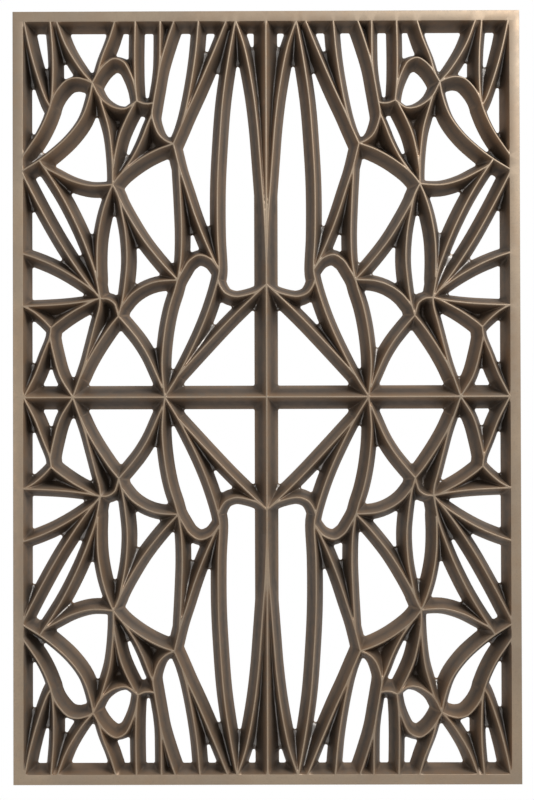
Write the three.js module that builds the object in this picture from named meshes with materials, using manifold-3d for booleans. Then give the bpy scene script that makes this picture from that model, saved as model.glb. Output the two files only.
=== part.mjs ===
// A cast-metal openwork facade panel: a flat frame filled with a web of
// branching ribs, a modern descendant of the mashrabiya screen.
//
// The casting is drawn flat, with x to the right, y up and z towards the
// street, and is stood upright at the end. Its origin is the middle of the
// flat back. Every bar tapers from a narrow ridge in front to a broad back,
// as a pattern must that is drawn out of its sand mould.

import * as THREE from 'three';
import { mergeVertices } from 'three/addons/utils/BufferGeometryUtils.js';
import Module from 'manifold-3d';

// Driving dimensions, in millimetres.
const WIDTH = 1000;
const HEIGHT = 1524;
const DEPTH = 50;

const FRAME_FACE = 20;
const RIDGE_WIDTH = 2.6;

// How far a wall spreads between the front and the back.
const RIB_WALL_RUN = 14.8;
const CROSS_WALL_RUN = 22.3;
const FRAME_WALL_RUN = 11.2;

// A rib starts this far inside the frame's outer edge, so that its end is
// buried in the frame.
const ROOT = 18;

// Four small cells of each quarter are blind: a thin web closes their back.
const WEB = 6;
const WEB_WIDTH = 26;

// Ribs are faceted: a new facet at least this often along a rib, in
// millimetres, and at least this often in a bend, in radians.
const LONGEST_FACET = 52;
const SHARPEST_FACET = 0.25;

// Points this close to a straight edge or a flat face are dropped from it.
const SEAM_TOLERANCE = 0.05;

const COAT_COLOUR = 0x75685a;

const MIDDLE_X = WIDTH / 2;
const MIDDLE_Y = HEIGHT / 2;

// Knots, where ribs meet. They are measured across and down from the outer
// corner of one quarter of the panel. The other quarters mirror it.
const crown = [157, 141];
const shoulder = [171, 168];
const edgeMeet = [74, 188];
const leftKnot = [52, 294];
const starKnot = [197, 342];
const rightKnot = [317, 262];
const archLeft = [245, 177];
const archRight = [278, 181];
const archStem = [275, 203];
const lowStar = [325, 531];
const petalEnd = [407, 511];
const cupStart = [404, 530];
const heart = [MIDDLE_X, 540];
const fanKnot = [172, 567];
const forkKnot = [208, 602];
const lowKnot = [75, 625];
const lowStem = [73, 642];
const slopeEnd = [141, 696];
const chainEnd = [325, 720];
const sillLeft = [118, MIDDLE_Y];
const sillRight = [299, MIDDLE_Y];

// The ridge line of each rib of one quarter, as the points it bends through.
const quarterRibs = [
  // The tall leaf in the upper corner and the strands that hold it.
  [[22, ROOT], [31, 62], [46, 118], [66, 175], edgeMeet],
  [[74, ROOT], [79, 85], [78, 160], edgeMeet],
  [[86, ROOT], [105, 67], [136, 117], crown],
  [crown, [144, 135], [126, 131], [108, 135], [92, 150], [80, 169], [68, 204], [51, 239], [ROOT, 288]],
  [[ROOT, 315], leftKnot, [80, 273], [112, 243], [138, 207], [153, 164], crown],

  // The ribs that hang from the top of the frame.
  [[202, ROOT], [192, 51], [177, 89], [165, 127], crown],
  [[165, 127], [175, 112], [187, 100], [201, 93], [219, 100], [231, 120], [240, 145], [244, 166]],
  [[242, ROOT], [241, 89], [242, 140], archLeft],
  [[291, ROOT], [291, 56], [290, 100], [287, 128]],
  [[319, ROOT], [306, 56], [292, 103], [284, 146], archRight, archStem,
    [279, 222], [288, 243], [302, 256], rightKnot],
  [[367, ROOT], [361, 84], [351, 148], [340, 200], [333, 224]],
  [[422, ROOT], [404, 63], [367, 150], [344, 200], [332, 228], rightKnot],
  [[440, ROOT], [427, 89], [415, 172], [408, 261], [404, 344], [404, 440], petalEnd,
    cupStart, [388, 583], [370, 629], [346, 680], chainEnd, sillRight],
  [[440, ROOT], [457, 69], [473, 150], [482, 221], [487, 283], [492, 350], [496, 403], [MIDDLE_X, 500]],

  // The hanging arches between the crown and the star.
  [crown, shoulder, [186, 182], [204, 191], [223, 192], archLeft],
  [archLeft, [257, 182], [268, 183], archRight],
  [shoulder, [181, 201], [189, 230], [194, 265], [197, 310], starKnot],
  [[239, 184], [226, 209], [212, 242], [203, 279], [198, 310]],
  [archStem, [266, 224], [255, 252], [237, 288], [215, 320]],
  [rightKnot, [289, 272], [263, 285], [237, 302], [213, 322], starKnot],

  // The long ribs of the middle.
  [leftKnot, [60, 305], [82, 318], [114, 334], [150, 344], [180, 344], starKnot],
  [leftKnot, [76, 330], [101, 372], [130, 431], [149, 478], [162, 516], fanKnot],
  [[ROOT, 318], [27, 336], [53, 386], [86, 445], [117, 494], [143, 531], fanKnot],
  [[ROOT, 478], [40, 485], [76, 500], [111, 519], [143, 540], [160, 553]],
  [starKnot, [187, 366], [176, 402], [168, 447], [166, 490], [167, 526]],
  [starKnot, [207, 362], [215, 397], [222, 437], [225, 488], [222, 528], [215, 576], forkKnot],
  [[203, 354], [213, 376], [227, 402], [258, 452], [298, 502], lowStar],
  [[214, 583], [232, 561], [256, 544], [284, 534], lowStar],
  [rightKnot, [320, 274], [329, 310], [342, 350], [359, 402], [378, 451], [395, 489], petalEnd],
  [[327, 304], [331, 378], [333, 440], [331, 493], lowStar],
  [petalEnd, [389, 489], [367, 482], [348, 493], [336, 511], lowStar,
    [320, 549], [309, 584], [299, 636], [294, 700], sillRight],

  // The low fans around the middle of the panel.
  [cupStart, [409, 544], [419, 557], [438, 564], [460, 561], [483, 553], heart],
  [heart, [473, 565], [428, 609], [380, 660], chainEnd],
  [forkKnot, [223, 619], [247, 649], [266, 680], [281, 713], [294, 743]],
  [forkKnot, [191, 623], [173, 649], [159, 671], [144, 698], [133, 722]],
  [fanKnot, [186, 568], [200, 577], forkKnot],
  [fanKnot, [171, 583], [163, 613], [150, 663], slopeEnd, sillLeft],
  [[ROOT, 582], [50, 581], [100, 578], [148, 572], fanKnot],
  [[ROOT, 581], [38, 591], [60, 609], lowKnot],
  [[161, 570], [120, 592], [88, 614], lowKnot],
  [lowKnot, lowStem, [59, 678], [44, 717], [21, MIDDLE_Y]],
  [lowStem, [79, 671], [93, 720], sillLeft],
];

// The blind cells, each by the middle line of its web.
const quarterWebs = [
  [[203, 202], [203, 230]],
  [[275, 244], [275, 272]],
  [[62, 595], [94, 598]],
  [[190, 582], [177, 619]],
];

const wasm = await Module();
wasm.setup();

// A closed three.js shape as a solid that can be joined to others.
function toSolid(geometry) {
  geometry.deleteAttribute('normal');
  geometry.deleteAttribute('uv');
  const merged = mergeVertices(geometry);
  return new wasm.Manifold(new wasm.Mesh({
    numProp: 3,
    vertProperties: merged.attributes.position.array,
    triVerts: merged.index.array,
  }));
}

// The section of a bar. Along a flat path the section's x runs backwards, so
// the back is at 0 and the ridge at minus the depth.
function barSection(ridgeWidth, wallRun) {
  const halfRidge = ridgeWidth / 2;
  const halfBack = halfRidge + wallRun;
  const section = new THREE.Shape();
  section.moveTo(0, -halfBack);
  section.lineTo(0, halfBack);
  section.lineTo(-DEPTH, halfRidge);
  section.lineTo(-DEPTH, -halfRidge);
  section.closePath();
  return section;
}

// The section of the thin web behind a blind cell.
function webSection() {
  const section = new THREE.Shape();
  section.moveTo(0, -WEB_WIDTH / 2);
  section.lineTo(0, WEB_WIDTH / 2);
  section.lineTo(-WEB, WEB_WIDTH / 2);
  section.lineTo(-WEB, -WEB_WIDTH / 2);
  section.closePath();
  return section;
}

// A bar along a flat path, with enough facets for its length and its bends.
function bar(path, section) {
  const chords = 60;
  let turn = 0;
  for (let i = 0; i < chords; i++) {
    turn += path.getTangentAt(i / chords).angleTo(path.getTangentAt((i + 1) / chords));
  }
  const steps = Math.ceil(Math.max(path.getLength() / LONGEST_FACET, turn / SHARPEST_FACET));
  return toSolid(new THREE.ExtrudeGeometry(section, { steps, extrudePath: path }));
}

// A point of a quarter, mirrored into the quarter with these signs.
function place([across, down], signX, signY) {
  return new THREE.Vector3(signX * (MIDDLE_X - across), signY * (MIDDLE_Y - down), 0);
}

// Bars of one section along lines of a quarter, made in all four quarters.
function inFourQuarters(lines, section) {
  const solids = [];
  for (const signX of [-1, 1]) {
    for (const signY of [-1, 1]) {
      for (const line of lines) {
        const points = line.map((point) => place(point, signX, signY));
        solids.push(bar(new THREE.CatmullRomCurve3(points, false, 'centripetal'), section));
      }
    }
  }
  return solids;
}

// The upright and the level bar that cross in the middle of the panel.
function cross() {
  const section = barSection(RIDGE_WIDTH, CROSS_WALL_RUN);
  const top = new THREE.Vector3(0, MIDDLE_Y - ROOT, 0);
  const side = new THREE.Vector3(MIDDLE_X - ROOT, 0, 0);
  return [top, side].map((end) => bar(new THREE.LineCurve3(end.clone().negate(), end), section));
}

// One side of the frame: flat in front, upright outside, tapered inside.
function frameSide(length, distance, angle) {
  const section = new THREE.Shape();
  section.moveTo(0, 0);
  section.lineTo(DEPTH, 0);
  section.lineTo(DEPTH, FRAME_FACE);
  section.lineTo(0, FRAME_FACE + FRAME_WALL_RUN);
  section.closePath();
  const side = new THREE.ExtrudeGeometry(section, { depth: length, bevelEnabled: false });
  side.rotateY(-Math.PI / 2);
  side.translate(length / 2, -distance, 0);
  side.rotateZ(angle);
  return toSolid(side);
}

function frame() {
  const quarterTurn = Math.PI / 2;
  return [
    frameSide(WIDTH, MIDDLE_Y, 0),
    frameSide(HEIGHT, MIDDLE_X, quarterTurn),
    frameSide(WIDTH, MIDDLE_Y, 2 * quarterTurn),
    frameSide(HEIGHT, MIDDLE_X, 3 * quarterTurn),
  ];
}

function screenPanel() {
  const casting = wasm.Manifold.union([
    ...frame(),
    ...cross(),
    ...inFourQuarters(quarterRibs, barSection(RIDGE_WIDTH, RIB_WALL_RUN)),
    ...inFourQuarters(quarterWebs, webSection()),
  ]);
  const { vertProperties, triVerts } = casting.asOriginal().simplify(SEAM_TOLERANCE).getMesh();
  const geometry = new THREE.BufferGeometry();
  geometry.setAttribute('position', new THREE.BufferAttribute(vertProperties, 3));
  geometry.setIndex(new THREE.BufferAttribute(triVerts, 1));
  const material = new THREE.MeshStandardMaterial({
    color: COAT_COLOUR,
    roughness: 0.5,
    metalness: 0.6,
  });
  const mesh = new THREE.Mesh(geometry, material);
  mesh.name = 'screen_panel';
  mesh.rotation.x = Math.PI / 2;
  return mesh;
}

const group = new THREE.Group();
group.add(screenPanel());

export default group;
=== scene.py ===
# %% [markdown]
# # A cast-metal screen panel, from a web of ribs to a weathered coat
#
# The object is a facade screen, a modern descendant of the mashrabiya: one casting, about one
# metre by one and a half, in which some forty ribs per quarter branch and flow into each other
# inside a flat frame. Every rib has a narrow flat ridge in front and spreads to a broad back.
#
# The lesson has five parts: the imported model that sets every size, the camera, the metal surface,
# its coat, and the light.

import math

import bmesh
import bpy
import numpy as np
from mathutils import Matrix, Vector
from mathutils.geometry import delaunay_2d_cdt
from mathutils.kdtree import KDTree


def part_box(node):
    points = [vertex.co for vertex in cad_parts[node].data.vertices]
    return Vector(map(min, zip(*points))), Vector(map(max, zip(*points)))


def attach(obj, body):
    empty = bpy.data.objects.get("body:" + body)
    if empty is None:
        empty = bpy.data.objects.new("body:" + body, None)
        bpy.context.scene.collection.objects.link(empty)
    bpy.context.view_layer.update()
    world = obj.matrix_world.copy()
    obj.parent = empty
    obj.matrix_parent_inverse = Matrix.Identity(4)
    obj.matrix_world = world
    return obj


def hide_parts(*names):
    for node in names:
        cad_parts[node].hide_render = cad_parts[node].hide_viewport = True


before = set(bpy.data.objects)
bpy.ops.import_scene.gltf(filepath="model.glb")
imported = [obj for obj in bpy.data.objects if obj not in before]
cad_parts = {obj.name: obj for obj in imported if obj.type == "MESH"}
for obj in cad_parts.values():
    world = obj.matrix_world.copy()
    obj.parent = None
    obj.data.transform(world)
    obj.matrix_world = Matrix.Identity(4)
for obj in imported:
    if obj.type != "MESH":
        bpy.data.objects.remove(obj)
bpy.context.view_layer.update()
low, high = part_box("screen_panel")
width = high[0] - low[0]
height = high[2] - low[2]
depth = high[1] - low[1]
print(f"the panel is {width:.3f} wide, {height:.3f} high and {depth:.3f} deep, in metres")

# %% [markdown]
# ## The camera
#
# A product picture of a flat panel is taken from far away with a long lens, square on to it, so
# that its sides stay parallel. Here the camera stands almost three panel widths in front of the
# ridges, a hand's breadth left of and below the middle. From there a thin sliver of every wall
# shows, which tells the eye how deep the screen is. The lens is held level rather than turned,
# so a small shift brings the panel back to the middle of the view.

# %% Camera
MILLIMETRE = 0.001
SENSOR = 36
LENS = 91.5
SHIFT = (0.047, 0.0087)
CAMERA_PLACE = (-0.040, -2.722, -0.024)
CAMERA_TURN = (90.463, 0.147, 0.191)

camera_data = bpy.data.cameras.new("view")
camera_data.sensor_fit = "HORIZONTAL"
camera_data.sensor_width = SENSOR
camera_data.lens = LENS
camera_data.shift_x, camera_data.shift_y = SHIFT
camera = bpy.data.objects.new("view", camera_data)
bpy.context.scene.collection.objects.link(camera)
camera.location = (CAMERA_PLACE[0] * width, CAMERA_PLACE[1] * width, CAMERA_PLACE[2] * height)
camera.rotation_euler = [math.radians(turn) for turn in CAMERA_TURN]
bpy.context.scene.camera = camera
print("camera at", [round(value, 3) for value in camera.location])

# %% [markdown]
# ## The web of ribs
#
# The founder's pattern is drawn as ridge lines on one quarter of the panel, and mirrored twice.
# The lines are measured across and down from the quarter's outer corner, in millimetres, as on a
# drawing. Each line is a list of the points that it bends through, and a smooth curve runs
# through them. Points where several ribs meet have names, so that every rib that goes there
# ends at exactly the same place.

# %% Knots of one quarter
MIDDLE_X = width / 2 / MILLIMETRE
MIDDLE_Y = height / 2 / MILLIMETRE
ROOT = 18

crown = (157, 141)
shoulder = (171, 168)
edge_meet = (74, 188)
left_knot = (52, 294)
star_knot = (197, 342)
right_knot = (317, 262)
arch_left = (245, 177)
arch_right = (278, 181)
arch_stem = (275, 203)
low_star = (325, 531)
petal_end = (407, 511)
cup_start = (404, 530)
heart = (MIDDLE_X, 540)
fan_knot = (172, 567)
fork_knot = (208, 602)
low_knot = (75, 625)
low_stem = (73, 642)
slope_end = (141, 696)
chain_end = (325, 720)
sill_left = (118, MIDDLE_Y)
sill_right = (299, MIDDLE_Y)

# %% Ribs of the upper corner: the tall leaf and the ribs that hang from the frame
upper_ribs = [
    [(22, ROOT), (31, 62), (46, 118), (66, 175), edge_meet],
    [(74, ROOT), (79, 85), (78, 160), edge_meet],
    [(86, ROOT), (105, 67), (136, 117), crown],
    [crown, (144, 135), (126, 131), (108, 135), (92, 150), (80, 169), (68, 204), (51, 239), (ROOT, 288)],
    [(ROOT, 315), left_knot, (80, 273), (112, 243), (138, 207), (153, 164), crown],
    [(202, ROOT), (192, 51), (177, 89), (165, 127), crown],
    [(165, 127), (175, 112), (187, 100), (201, 93), (219, 100), (231, 120), (240, 145), (244, 166)],
    [(242, ROOT), (241, 89), (242, 140), arch_left],
    [(291, ROOT), (291, 56), (290, 100), (287, 128)],
    [(319, ROOT), (306, 56), (292, 103), (284, 146), arch_right, arch_stem,
     (279, 222), (288, 243), (302, 256), right_knot],
    [(367, ROOT), (361, 84), (351, 148), (340, 200), (333, 224)],
    [(422, ROOT), (404, 63), (367, 150), (344, 200), (332, 228), right_knot],
    [(440, ROOT), (427, 89), (415, 172), (408, 261), (404, 344), (404, 440), petal_end,
     cup_start, (388, 583), (370, 629), (346, 680), chain_end, sill_right],
    [(440, ROOT), (457, 69), (473, 150), (482, 221), (487, 283), (492, 350), (496, 403), (MIDDLE_X, 500)],
]

# %% Ribs of the middle: the small arches, the star and the long blades
middle_ribs = [
    [crown, shoulder, (186, 182), (204, 191), (223, 192), arch_left],
    [arch_left, (257, 182), (268, 183), arch_right],
    [shoulder, (181, 201), (189, 230), (194, 265), (197, 310), star_knot],
    [(239, 184), (226, 209), (212, 242), (203, 279), (198, 310)],
    [arch_stem, (266, 224), (255, 252), (237, 288), (215, 320)],
    [right_knot, (289, 272), (263, 285), (237, 302), (213, 322), star_knot],
    [left_knot, (60, 305), (82, 318), (114, 334), (150, 344), (180, 344), star_knot],
    [left_knot, (76, 330), (101, 372), (130, 431), (149, 478), (162, 516), fan_knot],
    [(ROOT, 318), (27, 336), (53, 386), (86, 445), (117, 494), (143, 531), fan_knot],
    [(ROOT, 478), (40, 485), (76, 500), (111, 519), (143, 540), (160, 553)],
    [star_knot, (187, 366), (176, 402), (168, 447), (166, 490), (167, 526)],
    [star_knot, (207, 362), (215, 397), (222, 437), (225, 488), (222, 528), (215, 576), fork_knot],
    [(203, 354), (213, 376), (227, 402), (258, 452), (298, 502), low_star],
    [(214, 583), (232, 561), (256, 544), (284, 534), low_star],
    [right_knot, (320, 274), (329, 310), (342, 350), (359, 402), (378, 451), (395, 489), petal_end],
    [(327, 304), (331, 378), (333, 440), (331, 493), low_star],
    [petal_end, (389, 489), (367, 482), (348, 493), (336, 511), low_star,
     (320, 549), (309, 584), (299, 636), (294, 700), sill_right],
]

# %% Ribs around the middle of the panel: the cup, the chain and the low fans
lower_ribs = [
    [cup_start, (409, 544), (419, 557), (438, 564), (460, 561), (483, 553), heart],
    [heart, (473, 565), (428, 609), (380, 660), chain_end],
    [fork_knot, (223, 619), (247, 649), (266, 680), (281, 713), (294, 743)],
    [fork_knot, (191, 623), (173, 649), (159, 671), (144, 698), (133, 722)],
    [fan_knot, (186, 568), (200, 577), fork_knot],
    [fan_knot, (171, 583), (163, 613), (150, 663), slope_end, sill_left],
    [(ROOT, 582), (50, 581), (100, 578), (148, 572), fan_knot],
    [(ROOT, 581), (38, 591), (60, 609), low_knot],
    [(161, 570), (120, 592), (88, 614), low_knot],
    [low_knot, low_stem, (59, 678), (44, 717), (21, MIDDLE_Y)],
    [low_stem, (79, 671), (93, 720), sill_left],
]
ribs = upper_ribs + middle_ribs + lower_ribs
print(len(ribs), "ribs in a quarter")

# %% [markdown]
# ## Smooth curves through the points
#
# A centripetal Catmull-Rom spline passes through every point and never loops or overshoots
# between two that lie close together, which a founder's flexible batten wouldn't do either.
# Each curve is then walked in even steps, because all later work counts in millimetres along it.

# %% Spline and even steps
FINE_STEP = 0.5
SHORTEST_CHORD = 1e-4


def chord_time(start, end):
    """How long the curve takes from one point to the next: the root of their distance."""
    return max(np.linalg.norm(end - start), SHORTEST_CHORD) ** 0.5


def spline(points, samples=24):
    """Points along a centripetal Catmull-Rom curve through the given points."""
    knots = [np.array(point, float) for point in points]
    knots = [2 * knots[0] - knots[1], *knots, 2 * knots[-1] - knots[-2]]
    curve = []
    for a, b, c, d in zip(knots, knots[1:], knots[2:], knots[3:]):
        t1 = chord_time(a, b)
        t2 = t1 + chord_time(b, c)
        t3 = t2 + chord_time(c, d)
        for t in np.linspace(t1, t2, samples, endpoint=False):
            ab = a + (b - a) * t / t1
            bc = b + (c - b) * (t - t1) / (t2 - t1)
            cd = c + (d - c) * (t - t2) / (t3 - t2)
            abc = ab + (bc - ab) * t / t2
            bcd = bc + (cd - bc) * (t - t1) / (t3 - t1)
            curve.append(abc + (bcd - abc) * (t - t1) / (t2 - t1))
    curve.append(knots[-2])
    return np.array(curve)


def even_steps(curve, step):
    """The same curve with its points an even step apart."""
    lengths = np.hypot(*np.diff(curve, axis=0).T)
    along = np.concatenate([[0], np.cumsum(lengths)])
    marks = np.linspace(0, along[-1], max(2, round(along[-1] / step) + 1))
    return np.column_stack([np.interp(marks, along, curve[:, axis]) for axis in (0, 1)])


ridge_lines = [even_steps(spline(points), FINE_STEP) for points in ribs]
ridge_points = np.vstack(ridge_lines)
ridge_tree = KDTree(len(ridge_points))
for index, (across, down) in enumerate(ridge_points):
    ridge_tree.insert((across, down, 0), index)
ridge_tree.balance()
print(f"{len(ridge_points) * FINE_STEP / 1000:.1f} m of ridge in a quarter")

# %% [markdown]
# ## The section of a bar
#
# Every bar of the casting has the same kind of section: a flat ridge, a small rounding where the
# coat and the sand have softened its edge, and a straight wall that leans out to the back. The
# lean is the draft that lets the pattern leave the sand. So the height of the metal at any place
# follows from one number, how far it lies from the nearest ridge line, and the front of the
# whole casting is the highest of all its bars there.

# %% Section of a bar
DEPTH = depth / MILLIMETRE
EDGE_RADIUS = 0.8


class Bar:
    """The section of one kind of bar: half its flat ridge, and the run of its wall."""

    def __init__(self, half_ridge, wall_run):
        self.half_ridge = half_ridge
        self.wall_run = wall_run
        self.slope = DEPTH / wall_run
        self.turn = math.atan(self.slope)
        self.flat = half_ridge - EDGE_RADIUS * math.tan(self.turn / 2)
        self.wall_start = self.flat + EDGE_RADIUS * math.sin(self.turn)

    def height(self, distance):
        """Height above the back at a distance from the ridge line."""
        wall = DEPTH * (1 - (distance - self.half_ridge) / self.wall_run)
        lean = np.clip(distance - self.flat, 0, self.wall_start - self.flat)
        rounding = DEPTH - EDGE_RADIUS + np.sqrt(EDGE_RADIUS**2 - lean**2)
        return np.where(distance < self.wall_start, rounding, wall)

    def distance(self, height_wanted):
        """Distance from the ridge line at which the wall has a height."""
        return self.half_ridge + self.wall_run * (1 - height_wanted / DEPTH)


rib_bar = Bar(half_ridge=1.3, wall_run=14.8)
cross_bar = Bar(half_ridge=1.3, wall_run=22.3)
frame_bar = Bar(half_ridge=20, wall_run=11.2)
for name, bar in (("ribs", rib_bar), ("cross", cross_bar), ("frame", frame_bar)):
    print(f"the walls of the {name} lean {90 - math.degrees(bar.turn):.0f} degrees")

# %% [markdown]
# ## What a cutter can't reach
#
# Two walls never meet in a knife-sharp valley. The pattern was cut with a fine tapered cutter, and
# its round tip leaves a narrow floor. Close to the back a thicker one opened the cells, so where a
# valley runs out into an opening its floor widens to a small land and the opening's corner is
# round. In the tightest cells no cutter gets down to the back at all, and they stay blind. Each
# cutter is one operation on a height map of the quarter: first every place takes the greatest
# height within the tip's radius, then the least.

# %% Height map of the quarter, and its narrow floors
TIP_RADIUS = 1.0
OPENING_RADIUS = 3.3
LAND_HEIGHT = 4
CELL = 0.5
columns = np.arange(0, MIDDLE_X + CELL, CELL)
rows = np.arange(0, MIDDLE_Y + CELL, CELL)
FARTHEST = 21
nearest = np.full((len(rows), len(columns)), float(FARTHEST))
for across, down in ridge_points[::2]:
    left = max(0, int((across - FARTHEST) / CELL))
    top = max(0, int((down - FARTHEST) / CELL))
    right = int((across + FARTHEST) / CELL) + 2
    bottom = int((down + FARTHEST) / CELL) + 2
    window = nearest[top:bottom, left:right]
    gap = np.hypot(columns[None, left:right] - across, rows[top:bottom, None] - down)
    np.minimum(window, gap, out=window)

to_cross = np.minimum(MIDDLE_X - columns[None, :], MIDDLE_Y - rows[:, None])
to_frame = np.minimum(columns[None, :], rows[:, None])
sharp_map = np.maximum.reduce([
    rib_bar.height(nearest),
    cross_bar.height(to_cross),
    frame_bar.height(to_frame),
])

WEB_HEIGHT = 3
WEB_REACH = 13
WEB_STEP = 3.5
WEB_SAMPLES = 20
blind_cells = [
    ((203, 202), (203, 230)),
    ((275, 244), (275, 272)),
    ((62, 595), (94, 598)),
    ((190, 582), (177, 619)),
]
in_blind_cell = np.zeros(sharp_map.shape)
for start, end in blind_cells:
    for across, down in np.linspace(start, end, WEB_SAMPLES):
        gap = np.hypot(columns[None, :] - across, rows[:, None] - down)
        in_blind_cell[gap < WEB_REACH] = 1
sharp_map = np.where(in_blind_cell > 0, np.maximum(sharp_map, WEB_HEIGHT), sharp_map)


def spread(grid, radius, choose):
    """Every cell takes the greatest or the least value within a radius."""
    reach_cells = int(radius / CELL)
    padded = np.pad(grid, reach_cells, mode="edge")
    result = grid.copy()
    for down in range(-reach_cells, reach_cells + 1):
        for across in range(-reach_cells, reach_cells + 1):
            if math.hypot(across, down) * CELL <= radius:
                y = reach_cells + down
                x = reach_cells + across
                choose(result, padded[y:y + grid.shape[0], x:x + grid.shape[1]], out=result)
    return result


def cut_with(radius):
    """The height map that a round tip of this radius can cut."""
    return spread(spread(sharp_map, radius, np.maximum), radius, np.minimum)


floor_map = np.maximum(cut_with(TIP_RADIUS), np.minimum(cut_with(OPENING_RADIUS), LAND_HEIGHT))
is_open = floor_map < 0
print(f"{is_open.mean():.0%} of the quarter is open")

# %% [markdown]
# A second map says how enclosed each place is, a stand-in for ambient occlusion: it grows with the
# depth below the ridges, and fades where an opening is near. The coat uses it for painted shade, a
# darker tone deep between the walls where little light reaches.

# %% Map of the enclosed places, for painted shade
OCCLUSION_REACH = 8
OPEN_ENOUGH = 0.3


def average_around(grid, radius):
    """The mean over a square around every cell."""
    reach_cells = int(radius / CELL)
    side = 2 * reach_cells + 1
    sums = np.pad(grid, reach_cells, mode="edge").cumsum(axis=0).cumsum(axis=1)
    sums = np.pad(sums, ((1, 0), (1, 0)))
    total = sums[side:, side:] - sums[:-side, side:] - sums[side:, :-side] + sums[:-side, :-side]
    return total / side**2


open_nearby = average_around(is_open.astype(float), OCCLUSION_REACH)
occlusion_map = np.clip(1 - floor_map / DEPTH, 0, 1) * np.clip(1 - open_nearby / OPEN_ENOUGH, 0, 1)
print(f"the most sheltered place has {occlusion_map.max():.2f} of the full depth over it")

# %% [markdown]
# ## Stations along each ridge
#
# A web in which forty ribs melt into one another can't be pushed out of a cube or a cylinder, and
# forty swept bars joined together would keep knife-sharp valleys, with long slivers where two of
# them meet at a small angle. So the surface is laid out like a surveyor's map. A walk along each
# ridge stops at stations, and from each it looks out to both sides until another bar's wall stands
# higher. On the way it drives a stake wherever the section bends: at the flat's edge, on the
# rounding, half way down, and at the valley or the opening.
# Rows of stakes are joined along the rib, so every ridge stays one clean line. A walk stops every
# nine millimetres at most, and more often where the ridge turns, near a knot, and where an opening
# begins.

# %% Read a height map between its cells
def read_map(height_map, places):
    """Heights at many places, each blended from the four cells around it."""
    x = np.clip(places[..., 0] / CELL, 0, len(columns) - 1.001)
    y = np.clip(places[..., 1] / CELL, 0, len(rows) - 1.001)
    i = x.astype(int)
    j = y.astype(int)
    u = x - i
    v = y - j
    upper = height_map[j, i] * (1 - u) + height_map[j, i + 1] * u
    lower = height_map[j + 1, i] * (1 - u) + height_map[j + 1, i + 1] * u
    return upper * (1 - v) + lower * v


# %% How far a bar stays the highest
OUT_STEP = 0.25
SEEN_HIGHER = 0.3


def reaches_of(bar, line, normals, limit):
    """For each place on a ridge line, how far along its normal the bar is the highest metal."""
    outs = np.arange(OUT_STEP, limit + OUT_STEP, OUT_STEP)
    places = line[:, None, :] + normals[:, None, :] * outs[None, :, None]
    highest = read_map(sharp_map, places)
    covered = highest > bar.height(outs)[None, :] + SEEN_HIGHER
    covered |= (places.min(axis=2) < 0) | (places[..., 0] > MIDDLE_X) | (places[..., 1] > MIDDLE_Y)
    first = np.where(covered.any(axis=1), covered.argmax(axis=1), len(outs) - 1)
    return np.minimum(outs[first], limit)


# %% Rows of stakes beside one ridge
LONG_STEP = 9
SHORT_STEP = 1.75
OPEN_INSIDE = 1.4
OPEN_OUTSIDE = -7
SHARPEST_TURN = 0.16
NEAR_KNOT = 4
BEFORE_CORNER = 0.5
PAST_CORNER = 1.5
BORDER_STRIP = 0.5

stakes = []
links = []
corners = []


def rounding_rows(bar):
    """Distances of the bends in the section: the flat's edge, half the rounding, the wall's start."""
    return [bar.flat + EDGE_RADIUS * math.sin(bar.turn * half / 2) for half in range(3)]


def inside_quarter(place):
    """Whether a place lies in the quarter and not on its border."""
    inside_across = BORDER_STRIP < place[0] < MIDDLE_X - BORDER_STRIP
    inside_down = BORDER_STRIP < place[1] < MIDDLE_Y - BORDER_STRIP
    return inside_across and inside_down


def stake_rows(bar, line, side):
    """Drives the stakes on one side of a ridge line and links them into rows."""
    steps = np.gradient(line, axis=0)
    steps /= np.hypot(*steps.T)[:, None]
    normals = np.column_stack([-steps[:, 1], steps[:, 0]]) * side
    back = bar.distance(0)
    land = bar.distance(LAND_HEIGHT)
    corner_reach = back + OPENING_RADIUS
    limit = corner_reach + PAST_CORNER
    marks = list(range(0, len(line) - 1, round(SHORT_STEP / FINE_STEP))) + [len(line) - 1]
    reaches = reaches_of(bar, line[marks], normals[marks], limit)
    bends = dict(enumerate(rounding_rows(bar)))
    bends["middle"] = (bar.wall_start + back) / 2
    bends["inside"] = bar.distance(OPEN_INSIDE)
    bends["outside"] = bar.distance(OPEN_OUTSIDE)
    previous = {}
    since = turned = 0.0
    for order, mark in enumerate(marks):
        reached = reaches[order]
        if order:
            before = reaches[order - 1]
            since += (mark - marks[order - 1]) * FINE_STEP
            turned += math.acos(min(1.0, float(normals[mark] @ normals[marks[order - 1]])))
            if (reached < corner_reach) != (before < corner_reach) and max(reached, before) < limit:
                corners.append(line[mark] + normals[mark] * corner_reach)
        at_end = order in (0, len(marks) - 1)
        near_knot = reached < NEAR_KNOT
        near_corner = back - BEFORE_CORNER < reached < limit
        if not (at_end or near_knot or near_corner or since >= LONG_STEP or turned > SHARPEST_TURN):
            continue
        since = turned = 0.0
        wanted = dict(bends)
        if back < reached < bends["outside"]:
            wanted["outside"] = reached
        floor = min(reached - TIP_RADIUS, max(reached - OPENING_RADIUS, land))
        if reached < limit and floor > bar.wall_start:
            wanted["floor"] = floor
        current = {}
        for row, out in wanted.items():
            place = line[mark] + normals[mark] * out
            highest = read_map(floor_map, place)
            if row == "outside":
                seen = highest < 0
            else:
                seen = row == "floor" or highest <= bar.height(out) + SEEN_HIGHER
            if inside_quarter(place) and seen:
                current[row] = len(stakes)
                stakes.append(place)
                if row in previous:
                    links.append((previous[row], current[row]))
        previous = current


for line in ridge_lines:
    for side in (-1, 1):
        stake_rows(rib_bar, line, side)
print(len(stakes), "stakes beside the ribs")

# %% The cross and the frame are walked in the same way
def straight(start, end):
    """A straight ridge line in fine steps."""
    return even_steps(np.array([start, end], float), FINE_STEP)


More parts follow.
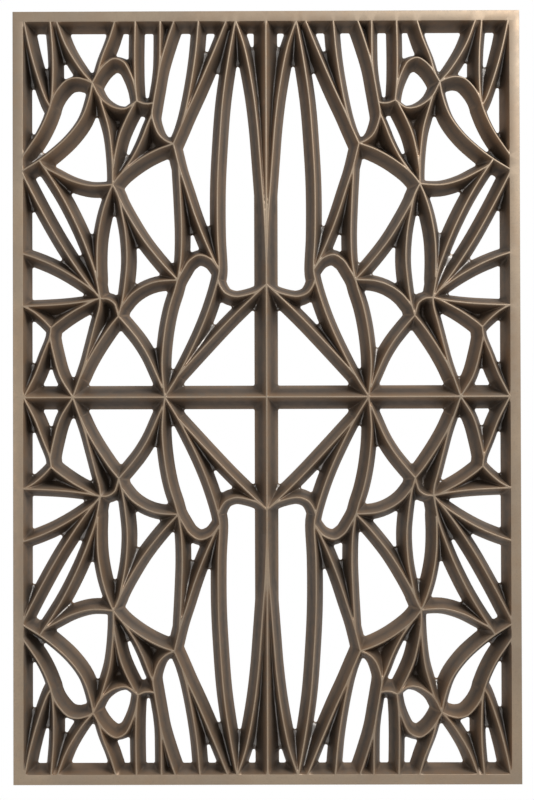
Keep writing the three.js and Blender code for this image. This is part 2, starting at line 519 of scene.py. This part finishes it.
stake_rows(cross_bar, straight((MIDDLE_X, 0), (MIDDLE_X, MIDDLE_Y)), 1)
stake_rows(cross_bar, straight((0, MIDDLE_Y), (MIDDLE_X, MIDDLE_Y)), -1)
stake_rows(frame_bar, straight((0, 0), (MIDDLE_X, 0)), 1)
stake_rows(frame_bar, straight((0, 0), (0, MIDDLE_Y)), -1)
print(len(stakes), "stakes with the cross and the frame")

# %% [markdown]
# ## Rounded corners of the openings
#
# Where a valley runs out into an opening, the cutter's tip leaves a round corner. A few stakes in
# two rings, one inside and one outside that arc, let the arc come out round when the surface is
# cut at the back.

# %% Rings of stakes at the corners, and the border of the quarter
SPOKES = 9
RINGS = (0.8, 1.2)
SAME_CORNER = 1.5
corner_tree = KDTree(len(corners))
for index, place in enumerate(corners):
    corner_tree.insert((*place, 0), index)
corner_tree.balance()
kept_corners = []
for index, place in enumerate(corners):
    twins = corner_tree.find_range((*place, 0), SAME_CORNER)
    if index == min(twin[1] for twin in twins):
        kept_corners.append(place)
for place in kept_corners:
    for ring in RINGS:
        for spoke in range(SPOKES):
            angle = math.tau * spoke / SPOKES
            stake = place + ring * OPENING_RADIUS * np.array([math.cos(angle), math.sin(angle)])
            if inside_quarter(stake):
                stakes.append(stake)
print(len(kept_corners), "round corners")

NEAR_WEB = 3
for start, end in blind_cells:
    left = min(start[0], end[0]) - WEB_REACH
    right = max(start[0], end[0]) + WEB_REACH
    for across in np.arange(left, right, WEB_STEP):
        for down in np.arange(start[1] - WEB_REACH, end[1] + WEB_REACH, WEB_STEP):
            stake = np.array([across, down])
            if 0 < read_map(floor_map, stake) < WEB_HEIGHT + NEAR_WEB:
                stakes.append(stake)

outer_rows = [0, EDGE_RADIUS * (1 - math.sin(math.pi / 3)), EDGE_RADIUS * 0.5, EDGE_RADIUS]


def border(start, end):
    """Links a straight row of stakes from one end to the other."""
    line = even_steps(np.array([start, end], float), LONG_STEP)
    first = len(stakes)
    stakes.extend(line)
    links.extend((first + i, first + i + 1) for i in range(len(line) - 1))


for inset in outer_rows:
    border((inset, inset), (MIDDLE_X, inset))
    border((inset, inset), (inset, MIDDLE_Y))
border((MIDDLE_X, 0), (MIDDLE_X, MIDDLE_Y))
border((0, MIDDLE_Y), (MIDDLE_X, MIDDLE_Y))
print(len(stakes), "stakes and", len(links), "links in all")

# %% [markdown]
# ## Heights, and a net over the stakes
#
# A constrained Delaunay net joins the stakes with well-shaped triangles and keeps every link as
# an edge. Each corner of the net is then lifted to the height of the metal there.

# %% Net and heights
NET_TOLERANCE = 0.05
net = delaunay_2d_cdt([Vector(stake) for stake in stakes], links, [], 0, NET_TOLERANCE)
net_places = np.array([tuple(corner) for corner in net[0]])
net_faces = [tuple(face) for face in net[2]]
to_ridge = np.array([ridge_tree.find((across, down, 0))[2] for across, down in net_places])
to_outside = net_places.min(axis=1)
to_middle = np.minimum(MIDDLE_X - net_places[:, 0], MIDDLE_Y - net_places[:, 1])
heights = np.maximum.reduce([
    rib_bar.height(to_ridge),
    cross_bar.height(to_middle),
    frame_bar.height(to_outside),
])
floors = read_map(floor_map, net_places)
in_valley = floors > heights + SEEN_HIGHER
heights = np.where(in_valley, floors, heights)
lean = np.clip(EDGE_RADIUS - to_outside, 0, EDGE_RADIUS)
outer_rounding = DEPTH - EDGE_RADIUS + np.sqrt(EDGE_RADIUS**2 - lean**2)
heights = np.minimum(heights, outer_rounding)
occluded = read_map(occlusion_map, net_places)
net_faces = [face for face in net_faces if max(heights[corner] for corner in face) > 0]
print(len(net_places), "corners and", len(net_faces), "faces in the net of a quarter")

# %% [markdown]
# ## From the net to a solid casting
#
# The net becomes the front of the upper left quarter. Its outer rim is drawn back to make the
# frame's side, everything behind the back plane is cut away, two mirrors make the other three
# quarters, and the flat back is filled in between the openings.

# %% Mesh of a quarter
corners_in_metres = np.column_stack([
    (net_places[:, 0] - MIDDLE_X) * MILLIMETRE,
    high[1] - heights * MILLIMETRE,
    (MIDDLE_Y - net_places[:, 1]) * MILLIMETRE,
])
casting_mesh = bpy.data.meshes.new("cast_panel")
casting_mesh.from_pydata(corners_in_metres.tolist(), [], net_faces)
# The map of enclosed places goes onto the mesh, where the coat uses it for painted shade.
occlusion = casting_mesh.attributes.new("occlusion", "FLOAT", "POINT")
occlusion.data.foreach_set("value", occluded)
casting = bpy.data.objects.new("cast_panel", casting_mesh)
bpy.context.scene.collection.objects.link(casting)
bpy.ops.object.select_all(action="DESELECT")
casting.select_set(True)
bpy.context.view_layer.objects.active = casting


def select_in_edit_mode(kind, wanted):
    """In edit mode, selects the edges or faces that a test picks."""
    bpy.ops.mesh.select_all(action="DESELECT")
    shape = bmesh.from_edit_mesh(casting.data)
    for item in getattr(shape, kind):
        item.select_set(wanted(item))
    shape.select_flush_mode()
    bmesh.update_edit_mesh(casting.data)


HAIR = 1e-5
PAST_BACK = 1.2
bpy.ops.object.mode_set(mode="EDIT")
bpy.ops.mesh.select_mode(type="EDGE")
select_in_edit_mode("edges", lambda edge: (
    all(corner.co.x < low[0] + HAIR for corner in edge.verts)
    or all(corner.co.z > high[2] - HAIR for corner in edge.verts)))
bpy.ops.mesh.extrude_region_move(TRANSFORM_OT_translate={"value": (0, depth * PAST_BACK, 0)})
bpy.ops.mesh.select_all(action="SELECT")
bpy.ops.mesh.bisect(plane_co=(0, high[1], 0), plane_no=(0, 1, 0), clear_outer=True, threshold=HAIR / 10)
bpy.ops.object.mode_set(mode="OBJECT")
print(len(casting.data.vertices), "corners in the quarter after the cut at the back")

# %% Mirrors and the flat back
LITRES = 1000
SMOOTH_UP_TO = math.radians(50)
mirror = casting.modifiers.new("mirror", "MIRROR")
mirror.use_axis = (True, False, True)
mirror.merge_threshold = HAIR
bpy.ops.object.modifier_apply(modifier=mirror.name)
bpy.ops.object.mode_set(mode="EDIT")
bpy.ops.mesh.select_all(action="DESELECT")
bpy.ops.mesh.select_non_manifold(extend=False, use_wire=False, use_boundary=True, use_multi_face=False,
                                 use_non_contiguous=False, use_verts=False)
bpy.ops.mesh.fill(use_beauty=False)
bpy.ops.mesh.select_all(action="SELECT")
bpy.ops.mesh.normals_make_consistent(inside=False)
bpy.ops.mesh.select_all(action="DESELECT")
bpy.ops.mesh.select_non_manifold(extend=False)
shape = bmesh.from_edit_mesh(casting.data)
print("edges that aren't closed:", sum(edge.select for edge in shape.edges))
print(f"volume {shape.calc_volume() * LITRES:.2f} litres")
bpy.ops.object.mode_set(mode="OBJECT")
bpy.ops.object.shade_smooth_by_angle(angle=SMOOTH_UP_TO)
casting.data.calc_loop_triangles()
print(len(casting.data.loop_triangles), "triangles in the casting")

# %% Painted light goes on the valley floors that face the front, and only weakly on the webs of the blind cells
FACING_FRONT = 0.7
BELOW_RIDGES = 3 * MILLIMETRE
WEB_FLOOR_LIGHT = 0.2
# This attribute marks the faces that get painted light: the valley floors, lit as if light reached the
# bottom of each gap.
valley_floor_light = casting.data.attributes.new("valley_floor_light", "FLOAT", "FACE")
for face in casting.data.polygons:
    if face.normal.y < -FACING_FRONT and face.center.y > low[1] + BELOW_RIDGES:
        across = MIDDLE_X - abs(face.center.x) / MILLIMETRE
        down = MIDDLE_Y - abs(face.center.z) / MILLIMETRE
        on_web = read_map(in_blind_cell, np.array([across, down])) > 0
        near_back = face.center.y > high[1] - 2 * WEB_HEIGHT * MILLIMETRE
        valley_floor_light.data[face.index].value = WEB_FLOOR_LIGHT if on_web and near_back else 1.0
print(sum(item.value > 0 for item in valley_floor_light.data), "faces on valley floors")

# %% [markdown]
# ## The coat
#
# The casting wears a bronze-brown coat with a soft metallic sheen. On a real one it is sprayed or
# chemically coloured, so it is never even: broad patches lean warmer or greyer, and a finer mottle
# lies over them. Light and shade are painted into the colour as well: painted shade darkens the
# coat deep between the walls, painted light turns the valley floors pale grey, and a painted
# highlight lightens the ridges and the frame's face, with smudges and specks of tarnish on them.
# All of it is built from noise and from the place on the casting, with no picture.

# %% Little helpers for the material's nodes
coat = bpy.data.materials.new("bronze_coat")
coat.use_nodes = True
nodes = coat.node_tree.nodes
wires = coat.node_tree.links
nodes.clear()
output = nodes.new("ShaderNodeOutputMaterial")
metal = nodes.new("ShaderNodeBsdfPrincipled")
wires.new(metal.outputs["BSDF"], output.inputs["Surface"])
place_on_part = nodes.new("ShaderNodeTexCoord").outputs["Object"]


def noise(scale, detail=3.0, roughness=0.5):
    """A cloudy pattern, with its scale in patches per metre."""
    node = nodes.new("ShaderNodeTexNoise")
    node.inputs["Scale"].default_value = scale
    node.inputs["Detail"].default_value = detail
    node.inputs["Roughness"].default_value = roughness
    wires.new(place_on_part, node.inputs["Vector"])
    return node.outputs["Fac"]


def attribute(name):
    """A value stored on the mesh."""
    node = nodes.new("ShaderNodeAttribute")
    node.attribute_name = name
    return node.outputs["Fac"]


def remap(value, from_low, from_high, to_low=0.0, to_high=1.0):
    """Stretches a range of values to another, and stops at its ends."""
    node = nodes.new("ShaderNodeMapRange")
    node.inputs["From Min"].default_value = from_low
    node.inputs["From Max"].default_value = from_high
    node.inputs["To Min"].default_value = to_low
    node.inputs["To Max"].default_value = to_high
    wires.new(value, node.inputs["Value"])
    return node.outputs["Result"]


def blend(first, second, share):
    """Mixes two colours, each a fixed colour or another node's, by a share."""
    node = nodes.new("ShaderNodeMix")
    node.data_type = "RGBA"
    for socket, colour in ((node.inputs[6], first), (node.inputs[7], second)):
        if isinstance(colour, tuple):
            socket.default_value = (*colour, 1)
        else:
            wires.new(colour, socket)
    wires.new(share, node.inputs["Factor"])
    return node.outputs[2]


def calculate(operation, first, second):
    """Adds or multiplies two values, the second of which may be a number."""
    node = nodes.new("ShaderNodeMath")
    node.operation = operation
    wires.new(first, node.inputs[0])
    if isinstance(second, (int, float)):
        node.inputs[1].default_value = second
    else:
        wires.new(second, node.inputs[1])
    return node.outputs["Value"]


def times(first, second):
    """Multiplies two values."""
    return calculate("MULTIPLY", first, second)


def plus(first, second):
    """Adds two values."""
    return calculate("ADD", first, second)


# %% Colour: warm and grey patches, mottle, painted shade, painted light on the floors and a painted highlight on the ridges
BRONZE = (0.325, 0.226, 0.150)
WARM_BRONZE = (0.390, 0.236, 0.130)
GREY_BRONZE = (0.285, 0.222, 0.168)
# The next three colours paint light and shade into the coat: a charcoal for painted shade deep in the
# valleys, a pale grey for painted light on the valley floors, and a light bronze for a painted highlight
# on the ridges and the frame's face.
VALLEY_SHADE_COLOUR = (0.045, 0.041, 0.038)
FLOOR_LIGHT_COLOUR = (0.450, 0.425, 0.400)
FRONT_HIGHLIGHT_COLOUR = (0.415, 0.318, 0.222)
TARNISHED = (0.290, 0.235, 0.180)
METAL_SHARE = 0.45

split = nodes.new("ShaderNodeSeparateXYZ")
wires.new(place_on_part, split.inputs["Vector"])
from_back = remap(split.outputs["Y"], high[1], low[1])
patches = remap(noise(5.0), 0.4, 0.62)
mottle = remap(noise(70.0, detail=5.0), 0.35, 0.7)
base = blend(GREY_BRONZE, BRONZE, patches)
base = blend(base, WARM_BRONZE, times(mottle, 0.6))
in_front_of_back = remap(from_back, 0.0, 0.04)
# Painted shade: the coat darkens towards charcoal where a place is deep and enclosed, because shade falls
# there.
painted_shade = times(remap(attribute("occlusion"), 0.0, 0.4, 0.0, 0.72), in_front_of_back)
base = blend(base, VALLEY_SHADE_COLOUR, times(painted_shade, remap(noise(12.0), 0.3, 0.6, 0.75, 1.0)))
# Painted light: valley floors that face the front turn pale grey, as if light reached the bottom of each
# gap.
base = blend(base, FLOOR_LIGHT_COLOUR, times(attribute("valley_floor_light"), remap(attribute("occlusion"), 0.3, 0.6)))
# Painted highlight: the faces nearest the front, the ridges and the frame's face, are painted lighter, as
# where light falls on them. Smudges and specks of tarnish lie over this.
ridge = remap(from_back, 0.975, 0.997)
front_highlight = times(ridge, remap(noise(9.0, detail=4.0), 0.35, 0.65, 0.55, 1.0))
smudges = times(remap(noise(4.0, detail=5.0), 0.42, 0.62), 0.55)
specks = times(remap(noise(260.0, detail=3.0), 0.52, 0.72), 0.6)
highlight_with_tarnish = blend(blend(FRONT_HIGHLIGHT_COLOUR, TARNISHED, smudges), TARNISHED, specks)
base = blend(base, highlight_with_tarnish, front_highlight)
wires.new(base, metal.inputs["Base Color"])
metal.inputs["Metallic"].default_value = METAL_SHARE
print("coat coloured")

# %% [markdown]
# The feel of the surface comes from the sand: a fine grain all over, a slow unevenness of the
# skin, and here and there a pin hole where gas was caught. They lie in the bump, and the sheen
# changes with the same mottle that changes the colour.

# %% Grain, pin holes and sheen
GRAIN_DEPTH = 0.12 * MILLIMETRE
grain = noise(900.0, detail=2.0)
skin = noise(120.0, detail=3.0)
pin_holes = nodes.new("ShaderNodeTexVoronoi")
pin_holes.inputs["Scale"].default_value = 22.0
pin_holes.inputs["Randomness"].default_value = 1.0
wires.new(place_on_part, pin_holes.inputs["Vector"])
pits = remap(pin_holes.outputs["Distance"], 0.018, 0.034)
pitted = plus(plus(times(grain, 0.5), skin), times(pits, 3.0))
relief = nodes.new("ShaderNodeBump")
relief.inputs["Strength"].default_value = 0.6
relief.inputs["Distance"].default_value = GRAIN_DEPTH
wires.new(pitted, relief.inputs["Height"])
wires.new(relief.outputs["Normal"], metal.inputs["Normal"])
wires.new(remap(mottle, 0.0, 1.0, 0.52, 0.40), metal.inputs["Roughness"])
casting.data.materials.append(coat)
print("coat grained")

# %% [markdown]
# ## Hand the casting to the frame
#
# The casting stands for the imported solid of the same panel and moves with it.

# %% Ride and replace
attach(casting, "root")
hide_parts("screen_panel")

# %% [markdown]
# ## Floor and light
#
# The panel hangs above a plain pale floor in a bright, even room. The even light fills the walls
# from every side, and that alone would look flat. One large soft light from the upper right adds
# direction, so that walls facing it read lighter than those facing away. A weak one from the left
# keeps the far walls from going dark.

# %% Floor
FLOOR_SIZE = 1.5
FLOOR_LEVEL = -1.02
FLOOR_COLOUR = (0.86, 0.86, 0.86, 1)
FLOOR_ROUGHNESS = 0.9
bpy.ops.object.select_all(action="DESELECT")
bpy.ops.mesh.primitive_plane_add(size=FLOOR_SIZE, location=(0, 0, FLOOR_LEVEL))
floor = bpy.context.active_object
floor.name = "floor"
pale = bpy.data.materials.new("pale_floor")
pale.use_nodes = True
pale_shader = pale.node_tree.nodes["Principled BSDF"]
pale_shader.inputs["Base Color"].default_value = FLOOR_COLOUR
pale_shader.inputs["Roughness"].default_value = FLOOR_ROUGHNESS
floor.data.materials.append(pale)

# %% Room and key light
ROOM_GLOW = 0.33
room = bpy.data.worlds.new("bright_room")
room.use_nodes = True
backdrop = room.node_tree.nodes["Background"]
backdrop.inputs["Color"].default_value = (1, 1, 1, 1)
seen = room.node_tree.nodes.new("ShaderNodeLightPath").outputs["Is Camera Ray"]
strength = room.node_tree.nodes.new("ShaderNodeMapRange")
strength.inputs["To Min"].default_value = ROOM_GLOW
strength.inputs["To Max"].default_value = 1.0
room.node_tree.links.new(seen, strength.inputs["Value"])
room.node_tree.links.new(strength.outputs["Result"], backdrop.inputs["Strength"])
bpy.context.scene.world = room
bpy.context.scene.view_settings.view_transform = "Standard"


def area_light(name, location, target, size, power):
    """A square soft light that faces a target."""
    light_data = bpy.data.lights.new(name, "AREA")
    light_data.size = size
    light_data.energy = power
    light = bpy.data.objects.new(name, light_data)
    bpy.context.scene.collection.objects.link(light)
    light.location = location
    light.rotation_euler = (Vector(target) - Vector(location)).to_track_quat("-Z", "Y").to_euler()
    return light


area_light("key", location=(1.9, -2.4, 2.3), target=(0, 0, 0.1), size=1.6, power=128)
area_light("fill", location=(-2.0, -3.0, -0.2), target=(0, 0, 0), size=2.0, power=18)
